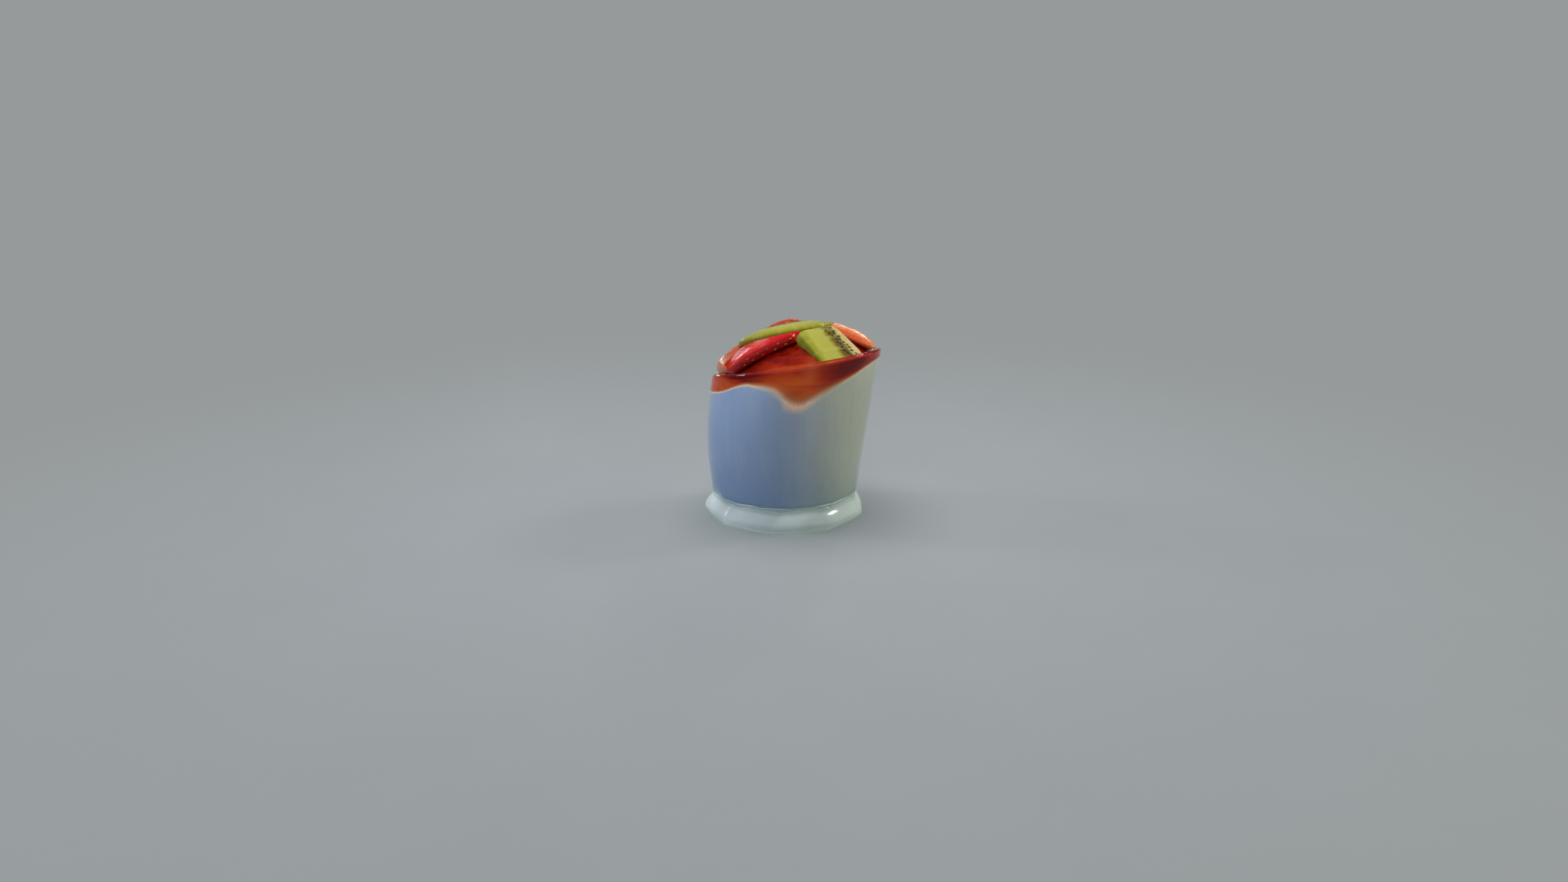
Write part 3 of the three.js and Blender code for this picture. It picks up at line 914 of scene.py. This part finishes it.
def flat_to_world(flat, bend, place):
    """From a slice's flat places and heights to where they are on the mound."""
    axes, rest = on_mound(**place)
    return draped(*flat.T, bend) @ axes.T + rest


def seeds_on_face(spots, headings, height, bend, place, size, sink):
    """Seeds sunk in a slice's upper face by a share of their height, at flat spots in mm."""
    parts = []
    for (spot_x, spot_y), heading in zip(spots, headings):
        grown = np.array(size) * rng.uniform(*SEED_VARIES)
        shape, faces = seed_shape(*grown)
        x, y = turned(shape[:, 0], shape[:, 1], heading)
        flat = np.column_stack([x + spot_x, y + spot_y, shape[:, 2] + height - sink * grown[2]])
        parts.append(seed_part(flat_to_world(flat, bend, place), faces))
    return parts


def seeds_on_rim(outline, thick, base, bend, place, gap, size, hidden_by=()):
    """Seeds sunk in the skin round a slice, in two staggered rows about `gap` mm apart."""
    turn = np.linspace(0, 2 * np.pi, 721)
    ring = np.column_stack(outline(np.cos(turn), np.sin(turn)))
    passed = np.concatenate([[0], np.cumsum(np.hypot(*np.diff(ring, axis=0).T))])
    count = int(passed[-1] / gap)
    parts = []
    for k in range(count):
        at = (k + rng.uniform(-0.2, 0.2)) * passed[-1] / count
        spot, ahead = [np.array([np.interp(far, passed, ring[:, i]) for i in (0, 1)])
                       for far in (at, at + 0.3)]
        along = (ahead - spot) / max(np.hypot(*(ahead - spot)), 1e-6)
        out = np.array([along[1], -along[0]])
        grown = np.array(size) * rng.uniform(*SEED_VARIES)
        shape, faces = seed_shape(*grown)
        row = 0.2 if k % 2 else -0.2
        height = base + thick * (0.5 + row + rng.uniform(-0.05, 0.05))
        flat = spot + np.outer(shape[:, 0], along) + np.outer(shape[:, 2] - 0.18 * grown[2], out)
        world = flat_to_world(np.column_stack([flat, height + shape[:, 1]]), bend, place)
        x, y, _ = world.mean(axis=0)
        lip = lip_plane(x, y)
        covered = any(underside(tree, x, y) is not None for tree in hidden_by)
        if not covered and np.hypot(x - lean_at(lip), y) <= hollow_radius(lip) - LIP_ROOM:
            parts.append(seed_part(world, faces))
    return parts


def kiwi_slice(seeds):
    points, faces, disc = slice_points(kiwi_outline, KIWI_THICK, KIWI_BEND, KIWI_PLACE,
                                       wobble=0.02, seed=1)
    parts = [(points, faces, disc, FLESH)]
    turn = np.linspace(0, 2 * np.pi, KIWI_SEEDS, endpoint=False) + rng.uniform(-0.05, 0.05, KIWI_SEEDS)
    far = rng.uniform(0.3, 0.42, KIWI_SEEDS)
    spots = np.column_stack(kiwi_outline(far * np.cos(turn), far * np.sin(turn)))
    parts += seeds_on_face(spots, turn, KIWI_THICK, KIWI_BEND, KIWI_PLACE, KIWI_SEED, 0.36)
    points, faces, values, materials = joined(parts)
    piece = make_object("kiwi_round", points, faces, [kiwi_material("kiwi_flesh", 0.5), seeds], materials)
    store(piece, "cut", values)
    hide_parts("kiwi_slice")
    return tree_of(points, faces)


def kiwi_chunk(seeds, above):
    points, faces, disc = slice_points(wedge_outline, WEDGE_THICK, WEDGE_BEND, WEDGE_PLACE,
                                       wobble=0.02, seed=3)
    a, b = squared(disc[:, 0], disc[:, 1])
    # The kiwi's middle is past the back right side
    far = 0.04 + 0.5 * (1 - a) + 0.04 * b
    turn = 0.5 * b
    from_middle = np.column_stack([far * np.cos(turn), far * np.sin(turn), disc[:, 2]])
    points = inside_lip(tucked(points, above, disc[:, 2]))
    parts = [(points, faces, from_middle, FLESH)]
    spots, headings = [], []
    for k in range(WEDGE_SEEDS):
        row = 0.12 if k % 2 else -0.12
        a = 0.53 + row + rng.uniform(-0.09, 0.09)
        b = lerp(-0.85, 0.8, k / (WEDGE_SEEDS - 1)) + rng.uniform(-0.04, 0.04)
        spots.append(wedge_point(a, b))
        headings.append(0.3 + 0.5 * b)
    parts += seeds_on_face(spots, headings, WEDGE_THICK, WEDGE_BEND, WEDGE_PLACE, WEDGE_SEED, 0.2)
    points, faces, values, materials = joined(parts)
    flesh = kiwi_material("kiwi_wedge_flesh", 0.0)
    piece = make_object("kiwi_chunk", points, faces, [flesh, seeds], materials)
    store(piece, "cut", values)
    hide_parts("kiwi_wedge")
    return tree_of(points, faces)


def strawberry_long(seeds, above):
    whole, faces, disc = slice_points(strawberry_outline, BERRY_THICK, BERRY_BEND, BERRY_PLACE,
                                      wobble=0.03, seed=5)
    points = inside_lip(eased(tucked(whole, above, disc[:, 2]), whole, faces, 8))
    tree = tree_of(points, faces)
    parts = [(points, faces, disc, FLESH)]
    parts += seeds_on_rim(strawberry_outline, BERRY_THICK, 0.0, BERRY_BEND, BERRY_PLACE, BERRY_SEED_GAP,
                          BERRY_SEED, above)
    points, faces, values, materials = joined(parts)
    skins = [strawberry_material("strawberry_flesh", 0.0), seeds]
    piece = make_object("strawberry_long", points, faces, skins, materials)
    store(piece, "cut", values)
    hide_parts("strawberry_slice")
    return tree


def strawberry_small(seeds):
    """Bent over the kiwi slice that it lies on."""
    points, faces, disc = slice_points(small_outline, SMALL_THICK, KIWI_BEND, KIWI_PLACE,
                                       wobble=0.03, seed=7, base=KIWI_THICK - 0.05, steps=96)
    parts = [(points, faces, disc, FLESH)]
    parts += seeds_on_rim(small_outline, SMALL_THICK, KIWI_THICK, KIWI_BEND, KIWI_PLACE, SMALL_SEED_GAP,
                          SMALL_SEED)
    points, faces, values, materials = joined(parts)
    skins = [strawberry_material("strawberry_pale_flesh", 0.3), seeds]
    piece = make_object("strawberry_small", points, faces, skins, materials)
    store(piece, "cut", values)
    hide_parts("strawberry_piece")


def peach(name, node, long, place, ripe, above):
    points, faces, ball = crescent_points(long, PEACH_WIDE, PEACH_DEEP, place)
    points = points + 0.16 * noise_at(points, 3.0, 9)[:, None] * np.array([0.3, 0.3, 1])
    points = inside_lip(tucked(points, above, ball[:, 2]))
    piece = make_object(name, points, faces, [peach_material(name + "_flesh", ripe)])
    store(piece, "cut", ball)
    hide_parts(node)
    return tree_of(points, faces)


kiwi_seeds = seed_material("kiwi_seeds", rgb(38, 26, 16), rgb(70, 48, 28))
strawberry_seeds = seed_material("strawberry_seeds", rgb(196, 116, 44), rgb(214, 150, 74))
kiwi = kiwi_slice(kiwi_seeds)
wedge = kiwi_chunk(kiwi_seeds, [kiwi])
strawberry = strawberry_long(strawberry_seeds, [kiwi, wedge])
strawberry_small(strawberry_seeds)
left = peach("peach_left", "peach_slice_left", 25.0, LEFT_PEACH, 0.8, [kiwi, strawberry])
right = peach("peach_right", "peach_slice_right", 23.0, RIGHT_PEACH, 0.35, [kiwi, wedge])
sauce([kiwi, wedge, strawberry, left, right])
cream()
glass()

for piece in list(bpy.context.scene.objects):
    if piece.type == "MESH" and piece.name not in frame["nodes"]:
        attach(piece, "root")


# Floor, light and camera

FLOOR_TONES = rgb(148, 152, 153), rgb(154, 158, 159)
FLOOR_REACH = 30000
FLOOR_TOP, FLOOR_BOTTOM = -0.02, -4.0
HAZE = (60, 400)  # how far from the cup the floor starts and ends turning to the background
LAMP_AIM = (0, 0, 0.045)
WHITE = (1.0, 1.0, 1.0)
LENS = 27.82  # millimetres, with a sensor 36 wide
CAMERA_PLACE = (-0.0003, -0.4336, 0.1515)  # metres
CAMERA_DOWN = 16.06  # degrees


def floor():
    """Pale round the cup, and at the background's tone far off, so that no horizon shows."""
    s = Shader("pale_floor", Roughness=0.6)
    spot = s.place()
    grain = s.noise(spot, 0.02, 4, 0.6)
    s.paint(Base_Color=s.mix(grain, *FLOOR_TONES), Normal=s.bump(s.noise(spot, 0.8, 3), 0.03, 0.4))
    share = s.span(s.length(spot), *HAZE)
    haze = s.add("Emission", {"Color": BACKGROUND, "Strength": 1.0}).outputs[0]
    s.set(s.output, "Surface", s.add("MixShader", {0: share, 1: s.surface.outputs[0], 2: haze}).outputs[0])
    side = [(0, FLOOR_BOTTOM), (FLOOR_REACH, FLOOR_BOTTOM), (FLOOR_REACH, FLOOR_TOP), (0, FLOOR_TOP)]
    points, faces = lathe(side, 64)
    piece = make_object("floor", points, faces, [s.material])


def room():
    """Dimmer than the background that shows behind the cup and through its glass."""
    world = bpy.data.worlds.new("studio")
    world.use_nodes = True
    n = Nodes(world.node_tree)
    behind = n.tree.nodes["Background"]
    n.set(behind, "Color", BACKGROUND)
    dim = n.add("Background", {"Color": ROOM, "Strength": 0.3})
    path = n.add("LightPath").outputs
    straight = n.math("LESS_THAN", n.math("ADD", path["Diffuse Depth"], path["Glossy Depth"]), 0.5)
    seen = n.add("MixShader", {0: straight, 1: dim.outputs[0], 2: behind.outputs[0]})
    n.set(n.tree.nodes["World Output"], "Surface", seen.outputs[0])
    bpy.context.scene.world = world


def lamp(name, spot, size, power, colour, shine=True):
    """A round lamp, with its place and width in metres and its power in watts."""
    light = bpy.data.lights.new(name, "AREA")
    light.shape = "DISK"
    light.size = size
    light.energy = power
    light.color = colour
    piece = bpy.data.objects.new(name, light)
    piece.location = spot
    piece.rotation_euler = (Vector(LAMP_AIM) - Vector(spot)).to_track_quat("-Z", "Y").to_euler()
    piece.visible_camera = False
    piece.visible_glossy = shine
    bpy.context.scene.collection.objects.link(piece)


floor()
room()
lamp("top_light", (-0.05, 0.06, 0.9), 0.8, 7.4, (1.0, 0.99, 0.97), shine=False)
lamp("front_light", (-0.1, -0.7, 0.6), 0.5, 0.8, (1.0, 1.0, 0.98), shine=False)
lamp("left_light", (-0.69, -0.34, 0.3), 0.5, 0.68, (0.37, 0.6, 1.0), shine=False)
lamp("right_light", (0.75, -0.15, 0.3), 0.5, 0.7, (1.0, 0.98, 0.88), shine=False)
lamp("left_glint", (-0.6, 0.1, 0.35), 0.14, 0.8, WHITE)
lamp("right_glint", (0.55, 0.2, 0.5), 0.14, 0.9, WHITE)
lamp("back_light", (0.1, 0.75, 0.3), 0.5, 0.3, WHITE, shine=False)
lamp("berry_glint", (-0.3, 0.6, 0.4), 0.05, 0.035, WHITE)
lamp("peach_glint", (0.2, 0.62, 0.44), 0.08, 0.2, WHITE)
lamp("low_glint", (-0.28, 0.85, 0.14), 0.06, 0.08, WHITE)
lamp("front_glint", (-0.1, -0.75, 0.75), 0.2, 0.2, WHITE)

bpy.context.scene.view_settings.view_transform = "Standard"

camera = bpy.data.objects.new("camera", bpy.data.cameras.new("camera"))
camera.data.sensor_width = 36
camera.data.lens = LENS
camera.location = CAMERA_PLACE
camera.rotation_euler = (math.radians(90 - CAMERA_DOWN), 0, 0)
bpy.context.scene.collection.objects.link(camera)
bpy.context.scene.camera = camera
